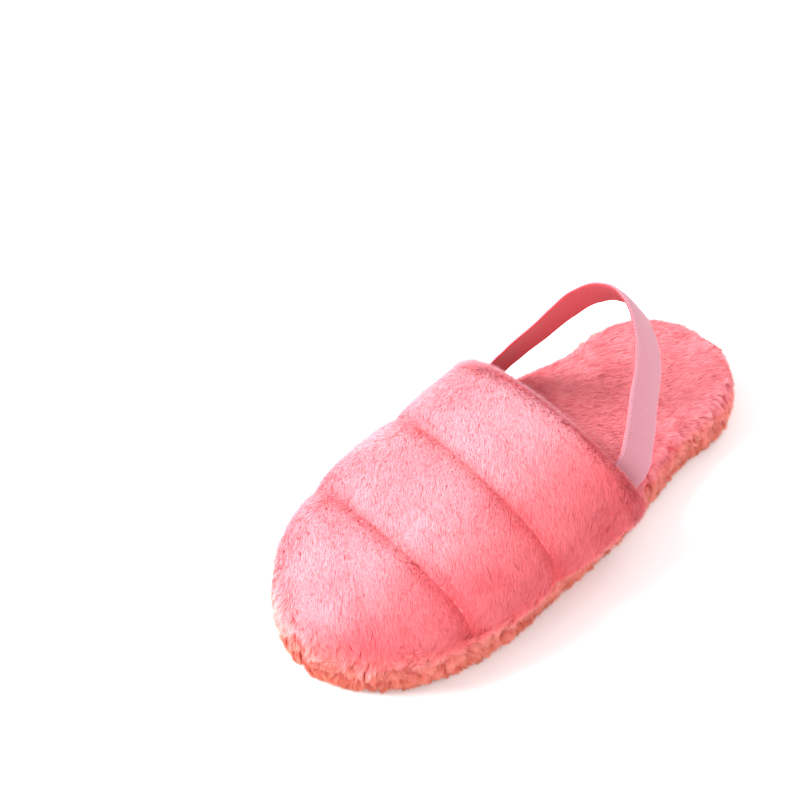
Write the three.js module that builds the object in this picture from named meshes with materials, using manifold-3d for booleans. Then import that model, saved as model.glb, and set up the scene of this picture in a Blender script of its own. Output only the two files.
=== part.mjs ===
// A plush house slipper with a quilted, padded upper, a soft platform sole and an elastic heel strap.
// Millimetres, +Z up. The toe points along -Y, the heel along +Y, and the slipper is symmetric about x = 0.
// The origin is at the middle of the length, on the ground.

import * as THREE from 'three';
import * as BufferGeometryUtils from 'three/addons/utils/BufferGeometryUtils.js';
import Module from 'manifold-3d';

const wasm = await Module();
wasm.setup();

// ---------------------------------------------------------------- driving dimensions

const CLEARANCE = 0.3; // between any two pieces

// Sole outline
const SOLE_LENGTH = 262;
const TOE_HALF_WIDTH = 38.5;
const BALL_HALF_WIDTH = 48;
const MID_HALF_WIDTH = 44.5;
const HEEL_HALF_WIDTH = 34.8;

// Sole stack, from the ground up
const DOT_HEIGHT = 0.8;
const DOT_RADIUS = 2.4;
const DOT_PITCH = 15;
const OUTSOLE_FABRIC = 1.2;
const BOARD_THICKNESS = 1.7;
const MIDSOLE_THICKNESS = 7.7;
const FOOTBED_FOAM_THICKNESS = 4.7;
const FOOTBED_PLUSH_THICKNESS = 2.2;
const BAND_THICKNESS = 3;
const BAND_BULGE = 0.9;

// Upper
const THROAT_POSITION = 0.549; // share of the sole length from the toe
const REAR_SEAM_POSITION = 0.383;
const FRONT_SEAM_POSITION = 0.209;
const TOE_HEIGHT = 5;
const INSTEP_HEIGHT = 23;
const THROAT_HEIGHT = 38;
const THROAT_OVERHANG = 8;
const SEAM_BOW = 5; // how far the seams and the throat edge bow towards the toe at the middle
const QUILT_DEPTH = 2.6; // how far a stitch line is sunk between two puffs
const SECTION_FULLNESS = 0.62; // the smaller, the squarer the section of the upper
const PLUSH_THICKNESS = 2.5;
const WADDING_THICKNESS = 5;
const LINING_THICKNESS = 1;
const ROLL_WIDTH = 8; // rolled throat edge, along the length
const THREAD_RADIUS = 0.5;

// Heel strap: elastic webbing, standing on its own
const STRAP_WIDTH = 25;
const STRAP_THICKNESS = 1.3;
const STRAP_TO_THROAT = 1.7; // free room between the strap's round end and the throat edge
const STRAP_EXIT = 0.48; // how far up the throat the strap leaves the upper
const STRAP_LEAN = 36; // from the swing line to the middle of the strap's top, towards the heel
const STRAP_RISE = 51; // and upwards
const TACK_THICKNESS = 0.6;
const TACK_LENGTH = 16;
const TACK_HEIGHT = 2.6;

// ---------------------------------------------------------------- colours

const PLUSH_PINK = 0xfb94a0;
const BAND_PINK = 0xef8c92;
const FOOTBED_PINK = 0xf78f98;
const LINING_PINK = 0xf3a6ae;
const WADDING_WHITE = 0xf4f1ee;
const FOAM_CREAM = 0xefe6cf;
const BOARD_BROWN = 0xb49a74;
const OUTSOLE_PINK = 0xe9a0a4;
const THREAD_PINK = 0xd9626f;
const WEBBING_PINK = 0xe08fa4;

function material(colour, roughness) {
  return new THREE.MeshStandardMaterial({ color: colour, roughness, metalness: 0 });
}

// ---------------------------------------------------------------- numbers

// Value at x of a smooth curve through the points [x, y]: cubic pieces whose slope at a point is the
// mean of the slopes on both sides, each weighted by the other's width.
function smoothCurve(points, x) {
  const last = points.length - 1;
  const gap = (i) => points[i + 1][0] - points[i][0];
  const slope = (i) => (points[i + 1][1] - points[i][1]) / gap(i);
  const tangent = (i) => {
    if (i === 0) return 2 * slope(0) - tangent(1);
    if (i === last) return 2 * slope(last - 1) - tangent(last - 1);
    return (slope(i - 1) * gap(i) + slope(i) * gap(i - 1)) / (gap(i - 1) + gap(i));
  };
  if (x <= points[0][0]) return points[0][1];
  if (x >= points[last][0]) return points[last][1];
  let i = 0;
  while (x > points[i + 1][0]) i += 1;
  const width = gap(i);
  const t = (x - points[i][0]) / width;
  const rise = t * t * (3 - 2 * t);
  const ease = t * (1 - t);
  return (
    points[i][1] * (1 - rise) +
    points[i + 1][1] * rise +
    width * ease * ((1 - t) * tangent(i) - t * tangent(i + 1))
  );
}

// ---------------------------------------------------------------- sole outline

const OUTLINE_WIDTHS = [
  [0, 0],
  [0.1, TOE_HALF_WIDTH],
  [0.22, BALL_HALF_WIDTH],
  [0.38, BALL_HALF_WIDTH],
  [0.58, MID_HALF_WIDTH],
  [0.78, HEEL_HALF_WIDTH],
  [0.92, HEEL_HALF_WIDTH - 2.6],
  [1, 0],
];
const SQUARED_WIDTHS = OUTLINE_WIDTHS.map(([place, width]) => [place, width * width]);

// Squares are blended rather than widths, so that the toe and the heel come out round.
function halfWidth(place) {
  return Math.sqrt(Math.max(smoothCurve(SQUARED_WIDTHS, place), 0));
}

// Point of the +x side of the outline, moved in by inset along the outline's own normal.
function outlinePoint(place, inset) {
  const length = SOLE_LENGTH;
  const step = 0.0005;
  const at = new THREE.Vector2(halfWidth(place), (place - 0.5) * length);
  const before = Math.max(place - step, 0);
  const after = Math.min(place + step, 1);
  const tangent = new THREE.Vector2(
    halfWidth(after) - halfWidth(before),
    (after - before) * length,
  ).normalize();
  if (place === 0) tangent.set(1, 0);
  if (place === 1) tangent.set(-1, 0);
  const inward = new THREE.Vector2(-tangent.y, tangent.x);
  at.addScaledVector(inward, inset);
  at.x = Math.max(at.x, 0);
  return at;
}

// Places along the length, crowded towards the round toe and heel.
const OUTLINE_STEPS = 30;
function outline(inset) {
  const side = [];
  for (let i = 0; i <= OUTLINE_STEPS; i += 1) {
    const place = 0.5 - 0.5 * Math.cos((Math.PI * i) / OUTLINE_STEPS);
    side.push(outlinePoint(place, inset));
  }
  const otherSide = side
    .slice(1, -1)
    .reverse()
    .map((point) => new THREE.Vector2(-point.x, point.y));
  return [...side, ...otherSide];
}

// ---------------------------------------------------------------- mesh helpers

// Closed surface through rows of points. Equal points are merged and collapsed triangles dropped.
function surface(points, triangles) {
  const geometry = new THREE.BufferGeometry();
  geometry.setAttribute('position', new THREE.Float32BufferAttribute(points.flatMap((p) => [p.x, p.y, p.z]), 3));
  geometry.setIndex(triangles.flat());
  const merged = BufferGeometryUtils.mergeVertices(geometry, 1e-4);
  const index = merged.getIndex().array;
  const kept = [];
  for (let i = 0; i < index.length; i += 3) {
    const [a, b, c] = [index[i], index[i + 1], index[i + 2]];
    if (a !== b && b !== c && a !== c) kept.push(a, b, c);
  }
  merged.setIndex(kept);
  return merged;
}

// Solid through closed sections that all have the same number of points.
// A ring joins its last section to its first, and any other loft is capped at both ends.
function loft(sections, isRing = false) {
  const count = sections[0].length;
  const points = sections.flat();
  const triangles = [];
  const rows = isRing ? sections.length : sections.length - 1;
  for (let i = 0; i < rows; i += 1) {
    const row = i * count;
    const nextRow = ((i + 1) % sections.length) * count;
    for (let j = 0; j < count; j += 1) {
      const k = (j + 1) % count;
      triangles.push([row + j, row + k, nextRow + k], [row + j, nextRow + k, nextRow + j]);
    }
  }
  if (!isRing) {
    const capAt = (section, row, flip) => {
      const middle = points.length;
      const centre = new THREE.Vector3();
      section.forEach((point) => centre.addScaledVector(point, 1 / count));
      points.push(centre);
      for (let j = 0; j < count; j += 1) {
        const k = (j + 1) % count;
        triangles.push(flip ? [row + k, row + j, middle] : [row + j, row + k, middle]);
      }
    };
    capAt(sections[0], 0, true);
    capAt(sections[sections.length - 1], (sections.length - 1) * count, false);
  }
  return faceOut(surface(points, triangles));
}

// Turns the faces round if the solid is inside out.
function faceOut(geometry) {
  const position = geometry.getAttribute('position');
  const index = geometry.getIndex().array;
  const [a, b, c] = [new THREE.Vector3(), new THREE.Vector3(), new THREE.Vector3()];
  let volume = 0;
  for (let i = 0; i < index.length; i += 3) {
    a.fromBufferAttribute(position, index[i]);
    b.fromBufferAttribute(position, index[i + 1]);
    c.fromBufferAttribute(position, index[i + 2]);
    volume += a.dot(b.cross(c));
  }
  if (volume < 0) geometry.setIndex(Array.from(index).reverse());
  return geometry;
}

function toSolid(geometry) {
  const bare = geometry.clone();
  bare.deleteAttribute('normal');
  bare.deleteAttribute('uv');
  const merged = BufferGeometryUtils.mergeVertices(bare, 1e-4);
  return new wasm.Manifold(
    new wasm.Mesh({
      numProp: 3,
      vertProperties: new Float32Array(merged.getAttribute('position').array),
      triVerts: new Uint32Array(merged.getIndex().array),
    }),
  );
}

function toGeometry(solid) {
  const mesh = solid.getMesh();
  const geometry = new THREE.BufferGeometry();
  geometry.setAttribute('position', new THREE.BufferAttribute(new Float32Array(mesh.vertProperties), 3));
  geometry.setIndex(new THREE.BufferAttribute(new Uint32Array(mesh.triVerts), 1));
  return geometry;
}

// Flat layer with the sole's outline, moved in by inset, from one height to another.
function soleLayer(inset, bottom, top) {
  const section = (z) => outline(inset).map((point) => new THREE.Vector3(point.x, point.y, z));
  return loft([section(bottom), section(top)]);
}

// Thread or cord with a round section along a curve.
const THREAD_SIDES = 6;
function thread(curve, steps, isRing) {
  const sections = [];
  const last = isRing ? steps - 1 : steps;
  const up = new THREE.Vector3(0, 0, 1);
  for (let i = 0; i <= last; i += 1) {
    const centre = curve.getPoint(i / steps);
    const along = curve.getTangent(i / steps);
    const side = new THREE.Vector3().crossVectors(along, up).normalize();
    const over = new THREE.Vector3().crossVectors(side, along);
    const section = [];
    for (let j = 0; j < THREAD_SIDES; j += 1) {
      const turn = (2 * Math.PI * j) / THREAD_SIDES;
      section.push(
        centre
          .clone()
          .addScaledVector(side, THREAD_RADIUS * Math.cos(turn))
          .addScaledVector(over, THREAD_RADIUS * Math.sin(turn)),
      );
    }
    sections.push(section);
  }
  return loft(sections, isRing);
}

// ---------------------------------------------------------------- heights of the sole stack

const PLATFORM_INSET = BAND_THICKNESS + CLEARANCE;
const OUTSOLE_TOP = DOT_HEIGHT + OUTSOLE_FABRIC;
const BOARD_BOTTOM = OUTSOLE_TOP + CLEARANCE;
const BOARD_TOP = BOARD_BOTTOM + BOARD_THICKNESS;
const MIDSOLE_BOTTOM = BOARD_TOP + CLEARANCE;
const MIDSOLE_TOP = MIDSOLE_BOTTOM + MIDSOLE_THICKNESS;
const FOOTBED_FOAM_BOTTOM = MIDSOLE_TOP + CLEARANCE;
const FOOTBED_FOAM_TOP = FOOTBED_FOAM_BOTTOM + FOOTBED_FOAM_THICKNESS;
const FOOTBED_PLUSH_BOTTOM = FOOTBED_FOAM_TOP + CLEARANCE;
const FOOTBED_TOP = FOOTBED_PLUSH_BOTTOM + FOOTBED_PLUSH_THICKNESS;
const UPPER_BOTTOM = FOOTBED_TOP + CLEARANCE;

// ---------------------------------------------------------------- sole pieces

// Anti-slip cloth with moulded dots in staggered rows on its underside.
function outsole() {
  const edgeRoom = PLATFORM_INSET + DOT_RADIUS + 3;
  let solid = toSolid(soleLayer(PLATFORM_INSET, DOT_HEIGHT, OUTSOLE_TOP));
  const dotOverlap = OUTSOLE_FABRIC / 2;
  const rowPitch = DOT_PITCH * Math.sqrt(0.75);
  const rows = Math.floor((SOLE_LENGTH / 2 - edgeRoom) / rowPitch);
  for (let row = -rows; row <= rows; row += 1) {
    const y = row * rowPitch;
    const reach = outlineReach(y, edgeRoom);
    const shift = row % 2 === 0 ? 0 : DOT_PITCH / 2;
    const columns = Math.ceil(reach / DOT_PITCH);
    for (let column = -columns; column <= columns; column += 1) {
      const x = column * DOT_PITCH + shift;
      if (Math.abs(x) > reach) continue;
      const dot = new THREE.CylinderGeometry(DOT_RADIUS, DOT_RADIUS, DOT_HEIGHT + dotOverlap, 6);
      dot.rotateX(Math.PI / 2);
      dot.translate(x, y, (DOT_HEIGHT + dotOverlap) / 2);
      solid = solid.add(toSolid(dot));
    }
  }
  return toGeometry(solid);
}

// Half width that is free at y inside the outline moved in by inset, or less than nothing past its ends.
function outlineReach(y, inset) {
  const side = outline(inset).slice(0, OUTLINE_STEPS + 1);
  for (let i = 0; i < OUTLINE_STEPS; i += 1) {
    if (y < side[i].y || y > side[i + 1].y) continue;
    const share = (y - side[i].y) / (side[i + 1].y - side[i].y);
    return side[i].x + share * (side[i + 1].x - side[i].x);
  }
  return -1;
}

// Strip of plush sewn round the platform, slightly rounded out, open at the top and the bottom.
function sideBand() {
  const heights = [0, 0.25, 0.75, 1];
  const bottom = DOT_HEIGHT;
  const height = FOOTBED_TOP - bottom;
  const inner = outline(BAND_THICKNESS);
  const rings = heights.map((share) => outline(-BAND_BULGE * Math.sin(Math.PI * share)));
  const sections = inner.map((innerPoint, i) => {
    const outside = rings.map(
      (ring, k) => new THREE.Vector3(ring[i].x, ring[i].y, bottom + height * heights[k]),
    );
    const insideTop = new THREE.Vector3(innerPoint.x, innerPoint.y, FOOTBED_TOP);
    const insideBottom = new THREE.Vector3(innerPoint.x, innerPoint.y, bottom);
    return [...outside, insideTop, insideBottom];
  });
  return loft(sections, true);
}

// Thread of a seam that runs all the way round the sole.
function perimeterSeam(offset, z) {
  const points = outline(-offset).map((point) => new THREE.Vector3(point.x, point.y, z));
  const curve = new THREE.CatmullRomCurve3(points, true, 'centripetal');
  return thread(curve, points.length, true);
}

// ---------------------------------------------------------------- shape of the upper

const UPPER_PLACES = [
  0, 0.003, 0.012, 0.027, 0.05, 0.08, 0.12, 0.165, 0.195, 0.209, 0.223, 0.255, 0.296, 0.337, 0.369, 0.383, 0.397,
  0.44, 0.49,
];
const ARCH_STEPS = 22;

// Height of the upper above its lower edge along the middle, before quilting.
function archHeight(place) {
  const early = TOE_HEIGHT + 0.65 * (INSTEP_HEIGHT - TOE_HEIGHT);
  return smoothCurve(
    [
      [0, TOE_HEIGHT],
      [0.1, early],
      [0.24, INSTEP_HEIGHT],
      [THROAT_POSITION, THROAT_HEIGHT],
    ],
    place,
  );
}

// Depth of the groove at a stitch line: full on the line, none half way to the next one.
function quiltGroove(place) {
  const reach = 0.045;
  const groove = (seam) => Math.exp(-(((place - seam) / reach) ** 2) * 2.2);
  return QUILT_DEPTH * (groove(FRONT_SEAM_POSITION) + groove(REAR_SEAM_POSITION));
}

// Point of the upper at a place along the length (0 toe, 1 heel) and a turn round its arch (0 right rim,
// PI left rim), moved in by inset.
function upperPoint(place, turn, inset) {
  const edge = outlinePoint(place, 0);
  const rim = outlinePoint(place, inset);
  const rise = Math.sin(turn) ** SECTION_FULLNESS;
  const lift = Math.min(rise / 0.25, 1);
  const ramp = Math.min(place / THROAT_POSITION, 1);
  // Layers sit behind each other at the toe and end level with each other at the throat.
  const setBack = (rim.y - edge.y) * (1 - ramp) ** 2;
  const overhang = THROAT_OVERHANG * ramp * Math.sin((lift * Math.PI) / 2);
  const height = Math.max(archHeight(place) - quiltGroove(place) * rise - inset, 0.4);
  return new THREE.Vector3(
    (rim.x + overhang) * Math.cos(turn),
    edge.y + setBack - SEAM_BOW * ramp * rise,
    UPPER_BOTTOM + height * rise,
  );
}

// Turns round the arch, crowded towards the steep rims.
function archTurns() {
  const turns = [];
  for (let j = 0; j <= ARCH_STEPS; j += 1) {
    turns.push((Math.PI / 2) * (1 - Math.cos((Math.PI * j) / ARCH_STEPS)));
  }
  return turns;
}

// Solid under the upper's surface moved in by inset(place), between two places, down to a floor.
function dome(inset, from, to, floor) {
  const between = UPPER_PLACES.filter((place) => place > from + 0.002 && place < to - 0.002);
  const edge = ROLL_PLACES.filter((place) => place > from + 0.0005 && place < to - 0.0005);
  const places = [from, ...between.filter((place) => place < ROLL_PLACES[0] - 0.002), ...edge, to];
  const sections = places.map((place) => {
    const arch = archTurns().map((turn) => upperPoint(place, turn, inset(place)));
    const right = arch[0].clone().setZ(floor);
    const left = arch[arch.length - 1].clone().setZ(floor);
    return floor < UPPER_BOTTOM ? [right, ...arch, left] : arch;
  });
  return toSolid(loft(sections));
}

const even = (inset) => () => inset;

// ---------------------------------------------------------------- layers of the upper

const ROLL_SHARE = ROLL_WIDTH / SOLE_LENGTH;
const ROLL_PLACES = [1, 0.75, 0.5, 0.25, 0.08].map((share) => THROAT_POSITION - share * ROLL_SHARE);
const BELOW = UPPER_BOTTOM - 2;
const BEYOND = THROAT_POSITION + 0.03;
const WADDING_OUTSIDE = PLUSH_THICKNESS + CLEARANCE;
const WADDING_INSIDE = WADDING_OUTSIDE + WADDING_THICKNESS;
const LINING_OUTSIDE = WADDING_INSIDE + CLEARANCE;
const LINING_INSIDE = LINING_OUTSIDE + LINING_THICKNESS;
const POCKET_TOE = 0.075; // where the foot pocket begins
const lengthShare = (distance) => distance / SOLE_LENGTH;

// Rounds the throat edge over: no inset where the roll starts, half the wall at the very edge.
function rollInset(place) {
  const start = THROAT_POSITION - ROLL_SHARE;
  const share = Math.min(Math.max((place - start) / ROLL_SHARE, 0), 1);
  return (LINING_INSIDE / 2) * (1 - Math.sqrt(1 - share * share * 0.96));
}

// Outer plush: one quilted shell, turned over the throat edge down to the lining.
function upperPlush() {
  const rollStart = THROAT_POSITION - ROLL_SHARE;
  const shell = dome(rollInset, 0, THROAT_POSITION, UPPER_BOTTOM);
  const hollow = dome(even(PLUSH_THICKNESS), 0, rollStart, BELOW);
  const mouth = dome(even(LINING_INSIDE), POCKET_TOE, BEYOND, BELOW);
  return toGeometry(shell.subtract(hollow).subtract(mouth));
}

// Wadding of one channel, between two stitch lines.
function wadding(from, to) {
  const outside = dome(even(WADDING_OUTSIDE), from, to, UPPER_BOTTOM);
  const inside = dome(even(WADDING_INSIDE), Math.max(from - 0.02, POCKET_TOE - lengthShare(2)), to + 0.02, BELOW);
  return toGeometry(outside.subtract(inside));
}

// Thin fleece lining of the foot pocket, closed at the toe and open at the throat.
function upperLining() {
  const end = THROAT_POSITION - ROLL_SHARE - lengthShare(CLEARANCE);
  const outside = dome(even(LINING_OUTSIDE), POCKET_TOE, end, UPPER_BOTTOM);
  const inside = dome(even(LINING_INSIDE), POCKET_TOE + lengthShare(LINING_THICKNESS), BEYOND, BELOW);
  return toGeometry(outside.subtract(inside));
}

// Stitching that lies in the groove between two puffs, from rim to rim.
function quiltThread(place) {
  const lift = THREAD_RADIUS + CLEARANCE;
  const rimTurn = 0.1;
  const steps = 24;
  const points = [];
  for (let i = 0; i <= steps; i += 1) {
    const turn = rimTurn + ((Math.PI - 2 * rimTurn) * i) / steps;
    points.push(upperPoint(place, turn, -lift));
  }
  return thread(new THREE.CatmullRomCurve3(points), steps, false);
}

// ---------------------------------------------------------------- heel strap

const THROAT_Y = (THROAT_POSITION - 0.5) * SOLE_LENGTH;
const STRAP_SWING_Y = THROAT_Y + STRAP_TO_THROAT + STRAP_WIDTH / 2;
const STRAP_SWING_Z = UPPER_BOTTOM + STRAP_EXIT * THROAT_HEIGHT;
const strapLine = new THREE.Vector2(STRAP_LEAN, STRAP_RISE).normalize();
const strapAcross = new THREE.Vector2(-strapLine.y, strapLine.x);

// Half width inside the throat at a height.
function throatReach(z) {
  const height = archHeight(THROAT_POSITION) - LINING_INSIDE;
  const rise = Math.min((z - UPPER_BOTTOM) / height, 1);
  return upperPoint(THROAT_POSITION, Math.asin(rise ** (1 / SECTION_FULLNESS)), LINING_INSIDE).x;
}

// The sewn end lies against the inside of the throat, and the moving leg laps it on the outside.
const toeEdge = new THREE.Vector2(STRAP_SWING_Y, STRAP_SWING_Z).addScaledVector(strapAcross, STRAP_WIDTH / 2);
const TOE_EDGE_Z = toeEdge.y - ((toeEdge.x - THROAT_Y) * strapLine.y) / strapLine.x;
const END_X = throatReach(TOE_EDGE_Z) - 2 * CLEARANCE - STRAP_THICKNESS / 2;
const LEG_X = END_X + STRAP_THICKNESS + CLEARANCE;

// Sewn end of the strap: flat webbing with a round end at the swing line, cut level at the sole seam.
function strapEnd(side) {
  const half = STRAP_WIDTH / 2;
  const centre = new THREE.Vector2(STRAP_SWING_Y, STRAP_SWING_Z);
  const floor = UPPER_BOTTOM + 1;
  const heelEdge = centre.clone().addScaledVector(strapAcross, -half);
  const down = (point) => point.clone().addScaledVector(strapLine, (floor - point.y) / strapLine.y);
  const start = Math.atan2(-strapAcross.y, -strapAcross.x);
  const shape = new THREE.Shape();
  const toeCorner = down(toeEdge);
  const heelCorner = down(heelEdge);
  shape.moveTo(toeCorner.x, toeCorner.y);
  shape.lineTo(heelCorner.x, heelCorner.y);
  shape.lineTo(heelEdge.x, heelEdge.y);
  shape.absarc(centre.x, centre.y, half, start, start + Math.PI, false);
  shape.lineTo(toeCorner.x, toeCorner.y);
  const plate = new THREE.ExtrudeGeometry(shape, { depth: STRAP_THICKNESS, bevelEnabled: false, curveSegments: 10 });
  // The shape lies in the y-z plane and is extruded along x.
  plate.applyMatrix4(new THREE.Matrix4().makeBasis(
    new THREE.Vector3(0, 1, 0),
    new THREE.Vector3(0, 0, 1),
    new THREE.Vector3(1, 0, 0),
  ));
  plate.translate(side * END_X - STRAP_THICKNESS / 2, 0, 0);
  return toGeometry(toSolid(plate));
}

// Moving part of the strap: up from one round end, over the heel opening and down to the other.
function heelStrap() {
  const lean = (share) => {
    return [STRAP_SWING_Y + STRAP_LEAN * share, STRAP_SWING_Z + STRAP_RISE * share];
  };
  const arch = [
    [1, -0.16],
    [1, 0.05],
    [1, 0.24],
    [0.85, 0.44],
    [0.69, 0.65],
    [0.46, 0.87],
    [0.23, 0.97],
  ];
  const right = arch.map(([width, share]) => new THREE.Vector3(LEG_X * width, ...lean(share)));
  const left = [...right].reverse().map((point) => new THREE.Vector3(-point.x, point.y, point.z));
  const curve = new THREE.CatmullRomCurve3([...right, new THREE.Vector3(0, ...lean(1)), ...left], false, 'centripetal');
  const across = new THREE.Vector3(0, -strapLine.y, strapLine.x);
  const steps = 44;
  const endReach = Math.hypot(STRAP_LEAN, STRAP_RISE) * 0.16;
  const sections = [];
  for (let i = 0; i <= steps; i += 1) {
    const centre = curve.getPointAt(i / steps);
    const along = curve.getTangentAt(i / steps);
    const normal = new THREE.Vector3().crossVectors(along, across).normalize();
    const below = Math.max(
      (STRAP_SWING_Y - centre.y) * strapLine.x + (STRAP_SWING_Z - centre.z) * strapLine.y,
      0,
    );
    const half = (STRAP_WIDTH / 2) * Math.sqrt(Math.max(1 - (below / (endReach * 1.25)) ** 2, 0.1));
    const corner = (a, b) =>
      centre.clone().addScaledVector(across, a * half).addScaledVector(normal, (b * STRAP_THICKNESS) / 2);
    sections.push([corner(-1, -1), corner(1, -1), corner(1, 1), corner(-1, 1)]);
  }
  return loft(sections);
}

// Dense stitching that holds a strap end, on its inner face.
function barTack(side) {
  const tack = new THREE.BoxGeometry(TACK_THICKNESS, TACK_LENGTH, TACK_HEIGHT);
  const x = END_X - STRAP_THICKNESS / 2 - CLEARANCE - TACK_THICKNESS / 2;
  const z = UPPER_BOTTOM + 1 + TACK_HEIGHT * 1.5;
  const alongStrap = (STRAP_SWING_Z - z) / strapLine.y;
  tack.translate(side * x, STRAP_SWING_Y - strapLine.x * alongStrap, z);
  return tack;
}

// ---------------------------------------------------------------- assembly

const slipper = new THREE.Group();

function addPiece(name, geometry, colour, roughness = 0.9) {
  const mesh = new THREE.Mesh(geometry, material(colour, roughness));
  mesh.name = name;
  slipper.add(mesh);
}

const SEAM_OFFSET = THREAD_RADIUS + CLEARANCE;
const GROOVE_GAP = lengthShare(1);

addPiece('outsole', outsole(), OUTSOLE_PINK, 0.75);
addPiece('sole_board', soleLayer(PLATFORM_INSET + 1, BOARD_BOTTOM, BOARD_TOP), BOARD_BROWN);
addPiece('midsole_foam', soleLayer(PLATFORM_INSET, MIDSOLE_BOTTOM, MIDSOLE_TOP), FOAM_CREAM);
addPiece('footbed_foam', soleLayer(PLATFORM_INSET, FOOTBED_FOAM_BOTTOM, FOOTBED_FOAM_TOP), FOAM_CREAM);
addPiece('footbed_plush', soleLayer(PLATFORM_INSET, FOOTBED_PLUSH_BOTTOM, FOOTBED_TOP), FOOTBED_PINK);
addPiece('side_band', sideBand(), BAND_PINK);
addPiece('top_seam_thread', perimeterSeam(SEAM_OFFSET, FOOTBED_TOP), THREAD_PINK, 0.6);
addPiece('bottom_seam_thread', perimeterSeam(SEAM_OFFSET, DOT_HEIGHT + THREAD_RADIUS), THREAD_PINK, 0.6);

addPiece('upper_plush', upperPlush(), PLUSH_PINK);
addPiece('toe_wadding', wadding(0.012, FRONT_SEAM_POSITION - GROOVE_GAP), WADDING_WHITE);
addPiece(
  'middle_wadding',
  wadding(FRONT_SEAM_POSITION + GROOVE_GAP, REAR_SEAM_POSITION - GROOVE_GAP),
  WADDING_WHITE,
);
addPiece(
  'throat_wadding',
  wadding(REAR_SEAM_POSITION + GROOVE_GAP, THROAT_POSITION - ROLL_SHARE - lengthShare(CLEARANCE)),
  WADDING_WHITE,
);
addPiece('upper_lining', upperLining(), LINING_PINK);
addPiece('front_quilt_thread', quiltThread(FRONT_SEAM_POSITION), THREAD_PINK, 0.6);
addPiece('rear_quilt_thread', quiltThread(REAR_SEAM_POSITION), THREAD_PINK, 0.6);

addPiece('strap_end_right', strapEnd(1), WEBBING_PINK, 0.7);
addPiece('strap_end_left', strapEnd(-1), WEBBING_PINK, 0.7);
addPiece('bar_tack_right', barTack(1), THREAD_PINK, 0.6);
addPiece('bar_tack_left', barTack(-1), THREAD_PINK, 0.6);
addPiece('heel_strap', heelStrap(), WEBBING_PINK, 0.7);

export default slipper;
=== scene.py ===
"""Looks of a plush house slipper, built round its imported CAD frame. Metres, +Z up, toe along -Y."""

import math

import bmesh
import bpy
import numpy as np
from mathutils import Matrix, Vector


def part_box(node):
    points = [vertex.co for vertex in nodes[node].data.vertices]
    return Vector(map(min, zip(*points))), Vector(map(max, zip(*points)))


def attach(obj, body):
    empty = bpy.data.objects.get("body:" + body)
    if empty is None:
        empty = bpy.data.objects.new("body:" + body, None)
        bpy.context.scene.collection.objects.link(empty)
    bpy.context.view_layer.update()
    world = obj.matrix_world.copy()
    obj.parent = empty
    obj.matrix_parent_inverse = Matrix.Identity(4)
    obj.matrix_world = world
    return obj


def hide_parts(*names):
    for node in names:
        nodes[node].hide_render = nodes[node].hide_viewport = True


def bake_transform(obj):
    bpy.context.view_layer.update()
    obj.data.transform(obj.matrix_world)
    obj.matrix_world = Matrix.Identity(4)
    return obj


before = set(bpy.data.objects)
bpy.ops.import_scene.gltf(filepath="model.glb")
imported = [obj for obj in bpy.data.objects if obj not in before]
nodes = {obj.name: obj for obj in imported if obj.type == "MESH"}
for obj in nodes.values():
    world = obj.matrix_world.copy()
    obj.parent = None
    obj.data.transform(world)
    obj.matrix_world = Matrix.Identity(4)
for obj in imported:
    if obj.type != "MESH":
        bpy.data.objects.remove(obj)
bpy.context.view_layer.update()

# ---------------------------------------------------------------------------------------------------
# Platform core: outsole cloth with moulded dots, fibre board, midsole foam and footbed foam. They lie
# inside the plush band, glued in one stack, so only the underside of the outsole shows.

MM = 0.001
SOLE_LENGTH = 262 * MM
SOLE_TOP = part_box("side_band")[1].z
DOT_HEIGHT = 0.8 * MM


def new_material(name, roughness, sheen=0.0, specular=0.3):
    """A node material with its Principled shader's even values set, and the shader, for what varies."""
    material = bpy.data.materials.new(name)
    material.use_nodes = True
    shader = material.node_tree.nodes["Principled BSDF"]
    shader.inputs["Roughness"].default_value = roughness
    shader.inputs["Specular IOR Level"].default_value = specular
    shader.inputs["Sheen Weight"].default_value = sheen
    shader.inputs["Sheen Roughness"].default_value = 0.45
    return material, shader


def add_node(material, kind, links=(), **values):
    """A node of a material, with inputs set by value and linked as (input, node, output)."""
    tree = material.node_tree
    node = tree.nodes.new(kind)
    for name, value in values.items():
        if name in node.inputs:
            node.inputs[name].default_value = value
        else:
            setattr(node, name, value)
    for name, source, output in links:
        tree.links.new(source.outputs[output], node.inputs[name])
    return node


def object_noise(material, scale, detail=3.0, stretch=(1, 1, 1)):
    """Noise on Object coordinates, with scale in lumps per metre, stretched along the axes."""
    place = add_node(material, "ShaderNodeTexCoord")
    mapping = add_node(material, "ShaderNodeMapping", [("Vector", place, "Object")], Scale=stretch)
    return add_node(
        material, "ShaderNodeTexNoise", [("Vector", mapping, "Vector")], Scale=scale, Detail=detail
    )


def colour_between(material, factor, low, high, start=0.0, end=1.0):
    """Colour ramp from low to high as the factor, a (node, output) pair, goes from start to end."""
    ramp = add_node(material, "ShaderNodeValToRGB", [("Fac", *factor)])
    ramp.color_ramp.elements[0].position = start
    ramp.color_ramp.elements[0].color = (*low, 1)
    ramp.color_ramp.elements[1].position = end
    ramp.color_ramp.elements[1].color = (*high, 1)
    return ramp


def add_bump(material, shader, height, distance, strength=1.0):
    """Bump from a (node, output) pair, distance in metres."""
    bump = add_node(material, "ShaderNodeBump", [("Height", *height)], Distance=distance, Strength=strength)
    material.node_tree.links.new(bump.outputs["Normal"], shader.inputs["Normal"])


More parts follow.
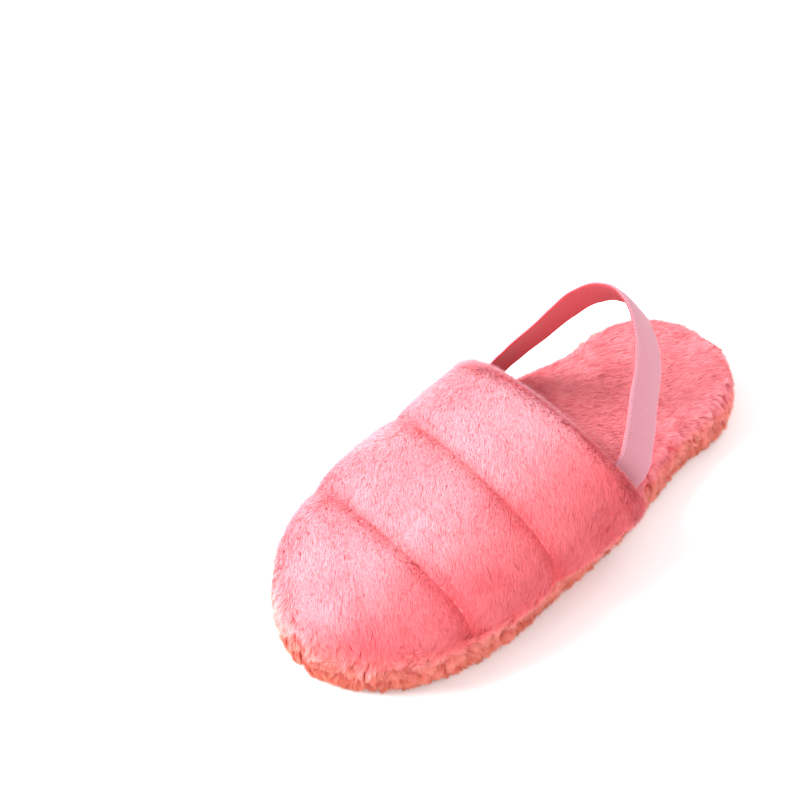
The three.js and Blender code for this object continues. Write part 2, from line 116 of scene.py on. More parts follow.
def mottled(name, low, high, scale, bump, roughness=0.9, sheen=0.0, stretch=(1, 1, 1)):
    """Matte material whose colour and surface vary with one noise: foam, board, wadding and fleece."""
    material, shader = new_material(name, roughness, sheen)
    noise = object_noise(material, scale, 4.0, stretch)
    ramp = colour_between(material, (noise, "Fac"), low, high, 0.35, 0.65)
    material.node_tree.links.new(ramp.outputs["Color"], shader.inputs["Base Color"])
    add_bump(material, shader, (noise, "Fac"), bump)
    return material


def dress(node, material):
    """Puts a material on a CAD node."""
    nodes[node].data.materials.clear()
    nodes[node].data.materials.append(material)


def outsole_cloth():
    """Fine canvas weave with paler rubber dots: the two are told apart by height above the ground."""
    material, shader = new_material("outsole_cloth", 0.75)
    place = add_node(material, "ShaderNodeTexCoord")
    split = add_node(material, "ShaderNodeSeparateXYZ", [("Vector", place, "Object")])
    is_cloth = add_node(material, "ShaderNodeMath", [(0, split, "Z")], operation="GREATER_THAN")
    is_cloth.inputs[1].default_value = DOT_HEIGHT - 0.1 * MM
    ramp = colour_between(material, (is_cloth, "Value"), (0.80, 0.47, 0.47), (0.60, 0.22, 0.24))
    material.node_tree.links.new(ramp.outputs["Color"], shader.inputs["Base Color"])
    weave = add_node(
        material, "ShaderNodeTexWave", [("Vector", place, "Object")], Scale=350.0, Distortion=0.6
    )
    add_bump(material, shader, (weave, "Fac"), 0.1 * MM)
    return material


dress("outsole", outsole_cloth())
dress("sole_board", mottled("fibre_board", (0.42, 0.30, 0.17), (0.52, 0.39, 0.24), 900, 0.05 * MM))
foam = mottled("foam", (0.80, 0.72, 0.58), (0.88, 0.82, 0.70), 1400, 0.25 * MM)
dress("midsole_foam", foam)
dress("footbed_foam", foam)

# ---------------------------------------------------------------------------------------------------
# Side band: a strip of plush sewn round the platform. It is cloth with a knitted back and a dense pile
# about six millimetres long, which leans out and down and gathers into small tufts.

# Half widths of the sole in millimetres, and the shares of its length from the toe that they belong to.
TOE_HALF_WIDTH = 38.5
BALL_HALF_WIDTH = 48
MID_HALF_WIDTH = 44.5
HEEL_HALF_WIDTH = 34.8
BACK_HALF_WIDTH = 32.2
HALF_WIDTHS = np.array(
    [
        [0, 0], [0.10, TOE_HALF_WIDTH], [0.22, BALL_HALF_WIDTH], [0.38, BALL_HALF_WIDTH],
        [0.58, MID_HALF_WIDTH], [0.78, HEEL_HALF_WIDTH], [0.92, BACK_HALF_WIDTH], [1, 0],
    ]
)
BACKING_WALL = 3 * MM
PUFF = 2.5 * MM
BAND_TOP = SOLE_TOP - 0.2 * MM
DENSITY = 1.0


def smooth_curve(points, x):
    """Cubic pieces through points [x, y]: a slope is the mean of those beside it, weighted by the widths.

    Each piece is a blend of its two end values, with a smooth step, and of its two end slopes."""
    px, py = points[:, 0], points[:, 1]
    gap = np.diff(px)
    slope = np.diff(py) / gap
    inner = (slope[:-1] * gap[1:] + slope[1:] * gap[:-1]) / (gap[:-1] + gap[1:])
    first = 2 * slope[0] - inner[0]
    last = 2 * slope[-1] - inner[-1]
    tangent = np.concatenate([[first], inner, [last]])
    x = np.clip(x, px[0], px[-1])
    i = np.clip(np.searchsorted(px, x, side="right") - 1, 0, len(px) - 2)
    t = (x - px[i]) / gap[i]
    rise = t * t * (3 - 2 * t)
    ease = t * (1 - t)
    bend = (1 - t) * tangent[i] - t * tangent[i + 1]
    return py[i] * (1 - rise) + py[i + 1] * rise + gap[i] * ease * bend


def half_width(place):
    """Half width of the sole: squares of the widths are blended, which makes both ends round."""
    squares = HALF_WIDTHS.copy()
    squares[:, 1] = (squares[:, 1] * MM) ** 2
    return np.sqrt(np.maximum(smooth_curve(squares, place), 0))


def outline_point(place, inset):
    """Point (x, y) of the +x side of the outline at a share of the length, moved in along the normal."""
    step = 2e-4
    before = np.clip(place - step, 0, 1)
    after = np.clip(place + step, 0, 1)
    dx = half_width(after) - half_width(before)
    dy = (after - before) * SOLE_LENGTH
    size = np.hypot(dx, dy)
    x = half_width(place) - inset * dy / size
    y = (place - 0.5) * SOLE_LENGTH + inset * dx / size
    return x, y


def round_outline(turn, inset):
    """Point (x, y) of the whole outline: turn 0 is the toe, pi the heel, and 2 pi the toe again."""
    place = 0.5 - 0.5 * np.cos(turn)
    x, y = outline_point(place, inset)
    return np.where(np.sin(turn) >= 0, 1, -1) * x, y


def grid_mesh(name, points, wrap_rows=False, wrap_columns=False):
    """A mesh of quads over a grid of points, rows by columns, with doubles merged and faces outwards."""
    rows, columns = points.shape[:2]
    merge_within = 0.01 * MM
    index = np.arange(rows * columns).reshape(rows, columns)
    if wrap_rows:
        index = np.concatenate([index, index[:1]], 0)
    if wrap_columns:
        index = np.concatenate([index, index[:, :1]], 1)
    quads = np.stack([index[:-1, :-1], index[1:, :-1], index[1:, 1:], index[:-1, 1:]], -1).reshape(-1, 4)
    mesh = bpy.data.meshes.new(name)
    mesh.from_pydata(points.reshape(-1, 3), [], quads)
    shell = bmesh.new()
    shell.from_mesh(mesh)
    bmesh.ops.remove_doubles(shell, verts=shell.verts, dist=merge_within)
    bmesh.ops.dissolve_degenerate(shell, edges=shell.edges, dist=merge_within)
    bmesh.ops.recalc_face_normals(shell, faces=shell.faces)
    shell.to_mesh(mesh)
    shell.free()
    mesh.shade_smooth()
    piece = bpy.data.objects.new(name, mesh)
    bpy.context.scene.collection.objects.link(piece)
    return piece


def scatter(surface, u_range, v_range, per_mm2, seed):
    """Random points, even in area, on surface(u, v): their parameters, places and normals.

    The surface is cut into cells. A point falls in a cell with a chance that goes with the cell's area,
    and anywhere within it. The normal is the cross product of two short steps along the surface."""
    random = np.random.default_rng(seed)
    cells = 200
    u_edge = np.linspace(*u_range, cells + 1)
    v_edge = np.linspace(*v_range, cells + 1)
    u_grid, v_grid = np.meshgrid(u_edge, v_edge, indexing="ij")
    corner = surface(u_grid, v_grid)
    along_u = corner[1:, :-1] - corner[:-1, :-1]
    along_v = corner[:-1, 1:] - corner[:-1, :-1]
    area = np.linalg.norm(np.cross(along_u, along_v), axis=-1)
    total = np.cumsum(area.reshape(-1))
    count = int(total[-1] / MM**2 * per_mm2 * DENSITY)
    cell = np.searchsorted(total, random.random(count) * total[-1])
    row, column = np.divmod(np.minimum(cell, cells * cells - 1), cells)
    u = u_edge[row] + random.random(count) * (u_edge[1] - u_edge[0])
    v = v_edge[column] + random.random(count) * (v_edge[1] - v_edge[0])
    du = (u_range[1] - u_range[0]) * 1e-4
    dv = (v_range[1] - v_range[0]) * 1e-4
    normal = np.cross(surface(u + du, v) - surface(u - du, v), surface(u, v + dv) - surface(u, v - dv))
    normal /= np.linalg.norm(normal, axis=-1, keepdims=True) + 1e-20
    return u, v, surface(u, v), normal


def swirl(points, wavelength, seed):
    """Smooth random vectors at points: a sum of sine waves in random directions, about unit size."""
    random = np.random.default_rng(seed)
    waves = 7
    ways = random.normal(size=(waves, 3))
    ways *= (2 * math.pi / wavelength) / np.linalg.norm(ways, axis=1, keepdims=True)
    phases = random.random((waves, 3)) * 2 * math.pi
    phase_at = (points @ ways.T)[:, :, None] + phases[None]
    return np.sin(phase_at).sum(1) / math.sqrt(waves / 2)


def tufts(points, size, seed):
    """Gathers points into tufts about size across, which are the cells of a lattice bent by waves.

    Gives the centre of each point's tuft, and three random numbers that the tuft's points share."""
    random = np.random.default_rng(seed)
    wobbled = points + swirl(points, size * 3.1, seed + 1) * size * 0.6
    cell = np.floor(wobbled / size).astype(np.int64)
    cell -= cell.min(0)
    span = cell.max(0) + 1
    key = (cell[:, 0] * span[1] + cell[:, 1]) * span[2] + cell[:, 2]
    _, tuft = np.unique(key, return_inverse=True)
    count = np.bincount(tuft)
    centre = np.stack([np.bincount(tuft, points[:, k]) / count for k in range(3)], 1)
    return centre[tuft], random.random((len(count), 3))[tuft]


# Waves of stray lean have two lengths. A hair has some stray, lift and turn of its own, and its middle
# has risen, leaned and been drawn by the shares below of what its tip has.
HAIR_WIDTH = 0.25 * MM
BROAD_WAVE = 26 * MM
NARROW_WAVE = 7 * MM
OWN_STRAY = 0.16
OWN_LIFT = 0.1
OWN_TURN = 0.4
MIDDLE_RISE = 0.62
MIDDLE_LEAN = 0.42
MIDDLE_DRAW = 0.45


def pile(name, roots, normals, comb, seed, length, lift, gather, stray, tone_top, crisp, tuft, shade=None):
    """Pile as flat tapered hairs, each a quad and a triangle.

    A hair starts at its root, leans along comb laid into the surface, rises by the share lift of its
    length, and its tip is drawn to the middle of its tuft by gather. Directions stray in smooth waves.
    Attribute tone goes from 0 at the root to tone_top at the tip, and fleck is a random number of the
    hair, shared in part by its tuft. Shading runs from that of the cloth below, crisp 0, to that of each
    hair, crisp 1, and shade gives other normals for it than the cloth's. Length, lift, gather, stray,
    tone_top and crisp may differ hair by hair."""
    random = np.random.default_rng(seed)
    count = len(roots)
    length, lift, gather, stray, tone_top, crisp = (
        np.broadcast_to(value, count)[:, None] for value in (length, lift, gather, stray, tone_top, crisp)
    )
    centre, mark = tufts(roots, tuft, seed + 10)
    wave = swirl(roots, BROAD_WAVE, seed + 20) + 0.5 * swirl(roots, NARROW_WAVE, seed + 30)
    wave += 1.2 * (mark - 0.5)
    lean = comb + stray * wave + OWN_STRAY * random.normal(size=(count, 3))
    lean -= (lean * normals).sum(1, keepdims=True) * normals
    lean /= np.linalg.norm(lean, axis=1, keepdims=True) + 1e-12
    reach = length * (0.8 + 0.3 * random.random((count, 1)) + 0.4 * stray * (mark[:, :1] - 0.5))
    rise = lift + OWN_LIFT * random.normal(size=(count, 1)) + 0.5 * stray * (mark[:, 1:2] - 0.5)
    rise = np.clip(rise, 0.05, 0.95)
    flat = np.sqrt(1 - rise**2)
    draw = (centre - roots) * gather
    middle = roots + reach * (MIDDLE_RISE * rise * normals + MIDDLE_LEAN * flat * lean) + MIDDLE_DRAW * draw
    tip = roots + reach * (rise * normals + flat * lean) + draw
    turn = OWN_TURN * random.normal(size=(count, 1))
    across = (np.cos(turn) * np.cross(lean, normals) + np.sin(turn) * normals) * (HAIR_WIDTH / 2)
    narrowed = across * 0.9
    points = np.stack([roots - across, roots + across, middle - narrowed, middle + narrowed, tip], 1)
    points[..., 2] = np.maximum(points[..., 2], 0.05 * MM)
    start = (np.arange(count, dtype=np.int32) * 5)[:, None]
    loops = (start + np.array([[0, 1, 3, 2, 2, 3, 4]], np.int32)).reshape(-1)
    mesh = bpy.data.meshes.new(name)
    mesh.vertices.add(count * 5)
    mesh.vertices.foreach_set("co", points.reshape(-1).astype(np.float32))
    mesh.loops.add(count * 7)
    mesh.loops.foreach_set("vertex_index", loops)
    mesh.polygons.add(count * 2)
    starts = np.arange(count, dtype=np.int32)[:, None] * 7 + np.array([[0, 4]], np.int32)
    mesh.polygons.foreach_set("loop_start", starts.reshape(-1))
    mesh.polygons.foreach_set("use_smooth", np.ones(count * 2, bool))
    columns = math.ceil(math.sqrt(count))
    cell = np.stack(np.divmod(np.arange(count), columns), 1)[:, None, :]
    spot = np.array([[0.2, 0.15], [0.8, 0.15], [0.2, 0.5], [0.8, 0.5], [0.5, 0.85]])[None]
    uv = ((cell + spot) / columns)[:, [0, 1, 3, 2, 2, 3, 4]]
    layer = mesh.uv_layers.new(name="OFBake")
    layer.data.foreach_set("uv", uv.reshape(-1).astype(np.float32))
    tone = (np.array([[0.0, 0.0, 0.6, 0.6, 1.0]]) * tone_top).reshape(-1).astype(np.float32)
    shared = 0.3 + 0.6 * crisp[:, 0]
    fleck = np.repeat(shared * mark[:, 2] + (1 - shared) * random.random(count), 5).astype(np.float32)
    for attribute, value in (("tone", tone), ("fleck", fleck)):
        mesh.attributes.new(attribute, "FLOAT", "POINT").data.foreach_set("value", value)
    mesh.update(calc_edges=True)
    blade = np.cross(across, tip - roots)
    blade /= np.linalg.norm(blade, axis=1, keepdims=True) + 1e-12
    facing = (normals if shade is None else shade) * (1 - crisp) + blade * crisp
    facing = facing + 0.1 * random.normal(size=(count, 3))
    facing /= np.linalg.norm(facing, axis=1, keepdims=True)
    mesh.normals_split_custom_set_from_vertices(np.repeat(facing, 5, 0).astype(np.float32))
    piece = bpy.data.objects.new(name, mesh)
    bpy.context.scene.collection.objects.link(piece)
    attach(piece, "root")
    return piece


def multiply(material, first, second):
    """Product of two colours, each given as a (node, output) pair."""
    mix = add_node(material, "ShaderNodeMix", data_type="RGBA", blend_type="MULTIPLY", clamp_result=False)
    mix.inputs["Factor"].default_value = 1.0
    material.node_tree.links.new(first[0].outputs[first[1]], mix.inputs["A"])
    material.node_tree.links.new(second[0].outputs[second[1]], mix.inputs["B"])
    return mix


TIP_GLOW = 0.5


def plush_material(name, stops, dark_fleck, patch_low, rim_tint, rim_heights):
    """Colour of hairs: deep at the root and pale at the tip, varied hair by hair and in broad patches.

    Stops are (tone, colour) pairs along the hair. The result is multiplied by rim_tint at the lower of
    the two rim_heights above the ground, and reaches its own colour at the upper one. A translucent
    shader takes the share TIP_GLOW of the surface, because light comes through the hairs."""
    material, shader = new_material(name, 0.85, 0.12, 0.05)
    shader.inputs["Sheen Tint"].default_value = (1.0, 0.80, 0.84, 1)
    tone = add_node(material, "ShaderNodeAttribute", attribute_name="tone")
    fleck = add_node(material, "ShaderNodeAttribute", attribute_name="fleck")
    ramp = colour_between(material, (tone, "Fac"), stops[0][1], stops[-1][1], stops[0][0], stops[-1][0])
    for position, colour in stops[1:-1]:
        ramp.color_ramp.elements.new(position).color = (*colour, 1)
    shade = colour_between(material, (fleck, "Fac"), dark_fleck, (1, 1, 1), 0.12, 0.55)
    flecked = multiply(material, (ramp, "Color"), (shade, "Color"))
    noise = object_noise(material, 38, 2.0)
    patch = colour_between(material, (noise, "Fac"), patch_low, (1, 1, 1), 0.35, 0.62)
    patched = multiply(material, (flecked, "Result"), (patch, "Color"))
    place = add_node(material, "ShaderNodeTexCoord")
    split = add_node(material, "ShaderNodeSeparateXYZ", [("Vector", place, "Object")])
    height = add_node(material, "ShaderNodeMapRange", [("Value", split, "Z")])
    height.inputs["From Min"].default_value = rim_heights[0]
    height.inputs["From Max"].default_value = rim_heights[1]
    tint = colour_between(material, (height, "Result"), rim_tint, (1, 1, 1))
    whole = multiply(material, (patched, "Result"), (tint, "Color"))
    material.node_tree.links.new(whole.outputs["Result"], shader.inputs["Base Color"])
    glow = add_node(material, "ShaderNodeBsdfTranslucent", [("Color", whole, "Result")])
    mix = add_node(material, "ShaderNodeMixShader", Fac=TIP_GLOW)
    material.node_tree.links.new(shader.outputs["BSDF"], mix.inputs[1])
    material.node_tree.links.new(glow.outputs["BSDF"], mix.inputs[2])
    material.node_tree.links.new(
        mix.outputs["Shader"], material.node_tree.nodes["Material Output"].inputs["Surface"]
    )
    return material


def band_surface(turn, share):
    """Outside of the band: the outline carried up from the ground, puffed out by a root of a sine."""
    puff = PUFF * np.sin(np.pi * (0.06 + 0.80 * share)) ** 0.6
    x, y = round_outline(turn, -puff)
    return np.stack([x, y, DOT_HEIGHT + (BAND_TOP - DOT_HEIGHT) * share], -1)


backing = mottled("plush_backing", (0.90, 0.20, 0.22), (0.96, 0.27, 0.29), 700, 0.2 * MM, 0.95, 0.3)
turns = np.linspace(0, 2 * np.pi, 240, endpoint=False)
rows = [band_surface(turns, np.full_like(turns, share)) for share in np.linspace(0, 1, 16)]
inner_top = np.stack([*round_outline(turns, BACKING_WALL), np.full_like(turns, BAND_TOP)], -1)
inner_low = np.stack([*round_outline(turns, BACKING_WALL), np.full_like(turns, DOT_HEIGHT)], -1)
band_points = np.stack([*rows, inner_top, inner_low], 0)
band_cloth = grid_mesh("side_band_cloth", band_points, wrap_rows=True, wrap_columns=True)
band_cloth.data.materials.append(backing)
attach(band_cloth, "root")
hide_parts("side_band")

# Painted shade: the band's hair is multiplied darker and more orange near the floor, fully at 2 mm up and
# fading out by 14 mm.
band_plush = plush_material(
    "band_plush",
    [(0.0, (0.80, 0.12, 0.12)), (0.5, (0.94, 0.28, 0.27)), (1.0, (0.99, 0.59, 0.52))],
    (0.80, 0.56, 0.50), (0.95, 0.88, 0.85), (0.95, 0.78, 0.66), (2 * MM, 14 * MM),
)
BAND_PARTS = 6
BAND_HAIRS_PER_MM2 = 13.0
BAND_COMB = np.array([0.25, 0.15, -0.9])
for part in range(BAND_PARTS):
    turn_range = (2 * np.pi * part / BAND_PARTS, 2 * np.pi * (part + 1) / BAND_PARTS)
    _, _, roots, normals = scatter(band_surface, turn_range, (0.0, 1.0), BAND_HAIRS_PER_MM2, 100 + part)
    outward = np.sign((normals[:, :2] * roots[:, :2]).sum(1, keepdims=True))
    normals = normals * outward
    fur = pile(
        f"side_band_pile_{part + 1}", roots, normals, BAND_COMB, 200 + part, length=6 * MM, lift=0.5,
        gather=0.75, stray=0.5, tone_top=1.0, crisp=0.8, tuft=3.8 * MM,
    )
    fur.data.materials.append(band_plush)

# ---------------------------------------------------------------------------------------------------
# Footbed: a plush sock over thin foam, sewn to the band all round. It is rounded off at the edge, with
# a shallow hollow where the heel presses. Its pile lies slantwise, and turns over the edge in tufts.

footbed_low, footbed_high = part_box("footbed_plush")
EDGE_ROUND = 5 * MM
EDGE_PROUD = 2.4 * MM
EDGE_DROP = 4.4 * MM
FOOTBED_RISE = 4.2 * MM
HOLLOW_DEPTH = 1.8 * MM
HOLLOW_PLACE = 84 * MM


def footbed_surface(place, side):
    """Top of the footbed at a share of the length, with side -1 to 1 across the outline.

    It is level, less a square of the nearness to the edge and a bell-shaped hollow at the heel."""
    x, y = outline_point(place, -EDGE_PROUD)
    x = np.maximum(x, 0)
    to_edge = np.minimum(x * (1 - np.abs(side)) / EDGE_ROUND, (1 - place) * SOLE_LENGTH / EDGE_ROUND)
    edge_drop = EDGE_DROP * np.clip(1 - to_edge, 0, 1) ** 2
    hollow = HOLLOW_DEPTH * np.exp(-((x * side / (20 * MM)) ** 2) - ((y - HOLLOW_PLACE) / (30 * MM)) ** 2)
    return np.stack([x * side, y, footbed_high.z + FOOTBED_RISE - edge_drop - hollow], -1)


sides = np.sin(np.linspace(-1, 1, 61) * np.pi / 2)
places = 0.5 - 0.5 * np.cos(np.linspace(0, np.pi, 140))
place_grid, side_grid = np.meshgrid(places, sides, indexing="ij")
top = footbed_surface(place_grid, side_grid)
under = top.copy()
under[..., 2] = footbed_low.z
footbed_points = np.concatenate([top, under[:, ::-1]], 1)
footbed_cloth = grid_mesh("footbed_cloth", footbed_points, wrap_columns=True)
footbed_cloth.data.materials.append(backing)
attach(footbed_cloth, "root")
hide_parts("footbed_plush")

footbed_plush = plush_material(
    "footbed_plush",
    [(0.0, (0.90, 0.20, 0.23)), (0.5, (0.98, 0.42, 0.47)), (1.0, (1.0, 0.66, 0.71))],
    (0.86, 0.64, 0.65), (0.97, 0.83, 0.84), (0.97, 0.84, 0.68), (SOLE_TOP - 1 * MM, SOLE_TOP + 2 * MM),
)
FOOTBED_NAP = np.array([0.69, 0.72, 0.0])
FOOTBED_HAIRS_PER_MM2 = 12.0
TUFTED_EDGE = 8 * MM
FOOTBED_PARTS = [(0.42, 0.57), (0.57, 0.72), (0.72, 0.86), (0.86, 1.0)]
for part, place_range in enumerate(FOOTBED_PARTS):
    place, side, roots, normals = scatter(
        footbed_surface, place_range, (-1.0, 1.0), FOOTBED_HAIRS_PER_MM2, 300 + part
    )
    normals = normals * np.sign(normals[:, 2:])
    rim_x, _ = outline_point(place, 0)
    to_edge = np.minimum(rim_x * (1 - np.abs(side)), (1 - place) * SOLE_LENGTH)
    outward = np.stack([np.sign(side), 0 * side, 0 * side], 1) + roots * [0, 6, 0]
    with_nap = np.clip(0.4 + outward @ FOOTBED_NAP, 0.25, 1)
    near_edge = (np.clip(1.2 - to_edge / TUFTED_EDGE, 0, 1) * with_nap)[:, None]
    comb = FOOTBED_NAP * (1 - near_edge) + outward * 1.4 * near_edge
    near_edge = near_edge[:, 0]
    fur = pile(
        f"footbed_pile_{part + 1}", roots, normals, comb, 400 + part, length=(5.0 + 0.4 * near_edge) * MM,
        lift=0.34 + 0.04 * near_edge, gather=0.2 + 0.5 * near_edge, stray=0.16 + 0.28 * near_edge,
        tone_top=0.8 + 0.05 * near_edge, crisp=0.3 + 0.5 * near_edge, tuft=3.4 * MM,
    )
    fur.data.materials.append(footbed_plush)

# ---------------------------------------------------------------------------------------------------
# Upper: plush, wadding and fleece lining quilted together by two rows of stitching into three puffed
# channels, with the plush rolled over the throat edge. The pile lies slantwise towards the toe.

UPPER_BOTTOM = 19 * MM
THROAT = 0.540
SEAMS = {"front": (0.193, 0.006), "rear": (0.377, 0.015)}
THROAT_ASKEW = 0.0115
TOE_HEIGHT = 5 * MM
INSTEP_HEIGHT = 26.2 * MM
THROAT_HEIGHT = 43 * MM
OVERHANG = 11 * MM
THROAT_SWEEP = 18 * MM
FULLNESS = 0.62
QUILT_DEPTH = 4.6 * MM
QUILT_REACH = 0.027
WALL = 9.2 * MM
CLOTH_WALL = 2.4 * MM
ROLL = 7 * MM / SOLE_LENGTH
TOE_SPACING = 1.6
VAMP_HEIGHT = 0.35 * TOE_HEIGHT + 0.65 * INSTEP_HEIGHT
ARCH_HEIGHTS = np.array([[0, TOE_HEIGHT], [0.1, VAMP_HEIGHT], [0.24, INSTEP_HEIGHT], [THROAT, THROAT_HEIGHT]])


def groove_at(place, turn):
    """How deep in a stitch line a place is: 1 on the line, falling off on both sides as a cusp.

    The lines are sewn a little askew, so their place along the foot changes with the turn's cosine."""
    lines = [seam - askew * np.cos(turn) for seam, askew in SEAMS.values()]
    return sum(np.exp(-np.abs((place - line) / QUILT_REACH) ** 1.1) for line in lines)


def upper_point(place, turn, inset):
    """Point of the upper at a share of the length and a turn round its arch, moved in by inset.

    Each cross-section is a squared-off arch: the height goes with a power of the sine of the turn, the
    half width with its cosine, the sides swell past the sole, the stitch lines sink into it, and the
    throat edge sweeps back down each side."""
    sine = np.clip(np.sin(turn), 0, 1)
    rise = sine**FULLNESS
    ramp = np.clip(place / THROAT, 0, 1)
    sweep = THROAT_SWEEP / SOLE_LENGTH * np.exp(-sine / 0.5) - THROAT_ASKEW * np.cos(turn)
    local = place + sweep * ramp**5
    _, edge_y = outline_point(local, 0)
    rim_x, rim_y = outline_point(local, inset - PUFF)
    swell = OVERHANG * ramp * np.sin(np.clip(rise / 0.25, 0, 1) * np.pi / 2)
    groove = groove_at(place, turn) * QUILT_DEPTH
    height = smooth_curve(ARCH_HEIGHTS, place) - groove * rise - inset
    height = np.maximum(height, 0.4 * MM)
    x = (rim_x + swell - 0.4 * groove) * np.cos(turn)
    y = edge_y + (rim_y - edge_y) * (1 - ramp) ** 2
    return np.stack([x, y, UPPER_BOTTOM + height * rise], -1)


def upper_surface(along, turn):
    """Whole outside of the upper: along 0 to 1 from the toe to the roll, 1 to 2 round the throat edge.

    The place goes with a power of along, and round the edge it and the inset follow half a circle."""
    angle = np.clip(along - 1, 0, 1) * np.pi
    place = np.clip(along, 0, 1) ** TOE_SPACING * (THROAT - ROLL) + ROLL * np.sin(angle)
    return upper_point(place, turn, WALL / 2 * (1 - np.cos(angle)))


arch_turns = np.pi / 2 * (1 - np.cos(np.pi * np.linspace(0, 1, 111)))
alongs = np.concatenate([np.linspace(0.02, 1, 120), np.linspace(1, 2, 17)[1:]])
along_grid, arch_grid = np.meshgrid(alongs, arch_turns, indexing="ij")
outside = upper_surface(along_grid, arch_grid)
inner_places = np.linspace(THROAT - ROLL, 0.012, 60)[1:]
place_grid, arch_grid = np.meshgrid(inner_places, arch_turns, indexing="ij")
near_roll = np.clip((place_grid - THROAT + ROLL) / 0.03 + 1, 0, 1)
inner_inset = CLOTH_WALL + (WALL - CLOTH_WALL) * near_roll**2
inside = upper_point(place_grid, arch_grid, inner_inset)
upper_cloth = grid_mesh("upper_cloth", np.concatenate([outside, inside], 0), wrap_rows=True)
upper_cloth.data.materials.append(backing)
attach(upper_cloth, "root")
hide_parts("upper_plush")

upper_plush = plush_material(
    "upper_plush",
    [
        (0.0, (0.90, 0.18, 0.20)), (0.36, (0.97, 0.36, 0.40)), (0.66, (1.0, 0.67, 0.74)),
        (1.0, (1.0, 0.80, 0.86)),
    ],
    (0.92, 0.80, 0.81), (0.98, 0.86, 0.88), (0.99, 0.91, 0.80),
    (UPPER_BOTTOM + 2 * MM, UPPER_BOTTOM + 9 * MM),
)
UPPER_NAP = np.array([0.79, -0.61, -0.1])
UPPER_HAIRS_PER_MM2 = 12.0
UPPER_PARTS = [(0.02, 0.66), (0.66, 0.86), (0.86, 1.0), (1.0, 1.85)]
SIDES = {"near": (0.0, np.pi / 2), "far": (np.pi / 2, np.pi)}


def upper_comb(roots, normals, rim, edge):
    """Lie of the upper's pile: along the nap, along a slope rather than up it, and hanging at the rim."""
    outward = roots * [1, 1, 0]
    outward /= np.linalg.norm(outward, axis=1, keepdims=True)
    hanging = outward * 0.6 + np.array([0, 0, -0.9])
    uphill = np.array([0, 0, 1.0]) - normals * normals[:, 2:]
    steep = np.linalg.norm(uphill, axis=1)
    climb = np.maximum(uphill @ UPPER_NAP, 0) / (steep**2 + 0.01) * np.clip((steep - 0.2) / 0.25, 0, 1)
    climb *= 1 - edge
    laid = UPPER_NAP - 1.5 * climb[:, None] * uphill
    return laid * (1 - rim[:, None]) + hanging * 1.4 * rim[:, None]


def rim_share(roots):
    """How far hairs belong to the tufted rim: 1 at the seam, 0 above it and where the nap runs inwards."""
    rim_height = 9
    height = (roots[:, 2] - UPPER_BOTTOM) / MM
    outward = roots * [1, 1, 0]
    outward /= np.linalg.norm(outward, axis=1, keepdims=True)
    with_nap = np.clip(0.5 + outward @ UPPER_NAP, 0.15, 1)
    return np.clip(1 - height / rim_height, 0, 1) * with_nap


for part, along_range in enumerate(UPPER_PARTS):
    for side_name, turn_range in SIDES.items():
        along, turn, roots, normals = scatter(
            upper_surface, along_range, turn_range, UPPER_HAIRS_PER_MM2, 500 + part
        )
        place = np.clip(along, 0, 1) ** TOE_SPACING * (THROAT - ROLL)
        core = upper_point(place, turn, WALL / 2)
        normals = normals * np.sign((normals * (roots - core)).sum(1, keepdims=True))
        height = (roots[:, 2] - UPPER_BOTTOM) / MM
        rim = rim_share(roots)
        # Painted shade: tips are coloured a little darker in a band about 7 mm above the bottom of the upper,
        # the crease over the rim tufts.
        deep = np.exp(-(((height - 7) / 5) ** 2)) * (along < 1)
        edge = np.clip((along - 0.97) / 0.1, 0, 1)
        # Painted shade: the tips on the near side, which faces away from the key light, are coloured deeper,
        # by up to 0.4 of tone, less on the rim tufts.
        near_side_shade = np.clip((np.cos(turn) - 0.05) / 0.7, 0, 1) * (1 - 0.6 * rim)
        # Tips in the stitch grooves are shorter, and coloured darker by painted shade in the grooves.
        groove = np.clip(groove_at(place, turn) - 0.35, 0, 1) / 0.65 * (along < 1)
        # Tips are paler on the rim tufts; along the throat edge the paler tips are a painted highlight, left
        # out where the near side has painted shade.
        paler = 0.1 * np.maximum(rim, edge * (1 - near_side_shade))
        fur = pile(
            f"upper_pile_{part + 1}_{side_name}", roots, normals, upper_comb(roots, normals, rim, edge),
            600 + 10 * part, length=(4.6 + 2.8 * rim - 2.0 * groove) * MM,
            lift=0.34 + 0.28 * rim + 0.2 * edge, gather=0.14 + 0.8 * rim, stray=0.12 + 0.8 * rim,
            tone_top=0.82 + paler - 0.25 * groove - 0.04 * deep - 0.40 * near_side_shade,
            crisp=0.14 + 0.8 * rim, tuft=4.2 * MM, shade=normals + [0, 0, 1.6] * edge[:, None],
        )
        fur.data.materials.append(upper_plush)

fleece = mottled("lining_fleece", (0.85, 0.22, 0.24), (0.95, 0.32, 0.34), 1200, 0.3 * MM, 0.95, 0.4)
dress("upper_lining", fleece)
wadding = mottled("wadding", (0.82, 0.80, 0.78), (0.92, 0.91, 0.90), 500, 0.5 * MM, 1.0, 0.2, (1, 3, 1))
for node in ("toe_wadding", "middle_wadding", "throat_wadding"):
    dress(node, wadding)

# ---------------------------------------------------------------------------------------------------
# Stitching: twisted polyester thread. Two rows quilt the upper through all its layers, and two run
# round the sole, one at the top and one at the bottom of the band. Short bar tacks hold the strap.

THREAD_RADIUS = 0.45 * MM
STITCH_LENGTH = 4 * MM

thread = mottled("thread", (0.72, 0.12, 0.15), (0.85, 0.20, 0.25), 2500, 0.05 * MM, 0.5, 0.3)
for node in ("top_seam_thread", "bottom_seam_thread", "bar_tack_right", "bar_tack_left"):
    dress(node, thread)


